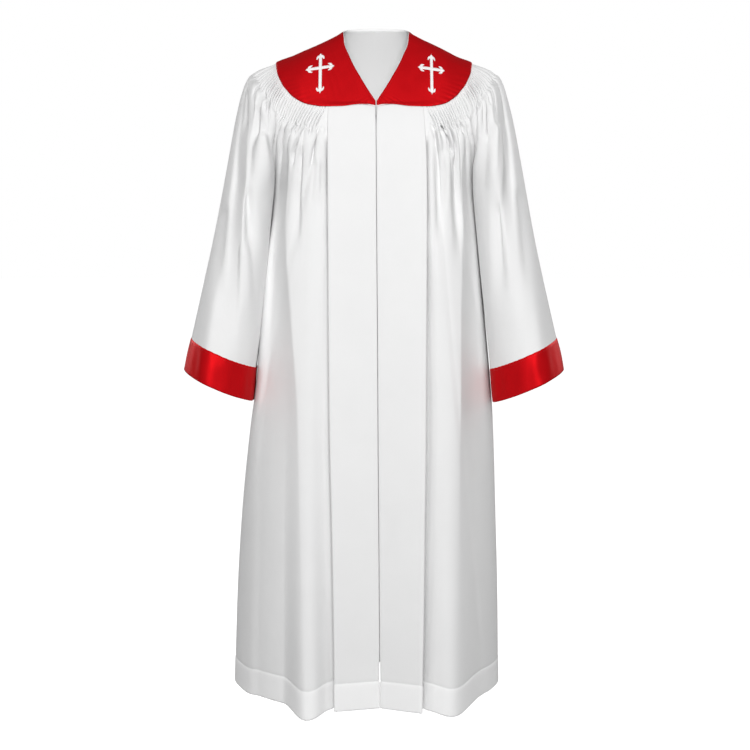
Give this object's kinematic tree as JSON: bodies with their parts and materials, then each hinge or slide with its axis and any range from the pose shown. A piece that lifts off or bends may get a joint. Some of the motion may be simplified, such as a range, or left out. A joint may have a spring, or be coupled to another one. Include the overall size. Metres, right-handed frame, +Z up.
{
  "type": "choir robe",
  "caption": "Full-length choir robe worn open at neck, cuffs and hem: fluted white cloth under a red satin yoke with a V neck, raised crosses, pleated centre panels and red cuff bands.",
  "frame": {"origin": "midway between the two places where the neck edge crosses the wearer's shoulders, where the robe is worn", "axes": "+X to the wearer's left, -Y to the front, +Z up"},
  "size_m": [0.7134, 0.4207, 1.2633],
  "materials": {
    "white_cloth": "matt plain weave",
    "white_lining": "matt plain weave",
    "white_thread": "satin-stitch thread",
    "red_satin": "satin"
  },
  "bodies": {
    "root": {"yoke_front_left": "red_satin", "yoke_front_right": "red_satin", "yoke_back": "red_satin", "yoke_lining_front_left": "white_lining", "yoke_lining_front_right": "white_lining", "yoke_lining_back": "white_lining", "front_left": "white_cloth", "front_right": "white_cloth", "back": "white_cloth", "sleeve_left": "white_cloth", "sleeve_right": "white_cloth", "cuff_left": "red_satin", "cuff_right": "red_satin", "cross_left": "white_thread", "cross_right": "white_thread"}
  },
  "joints": []
}
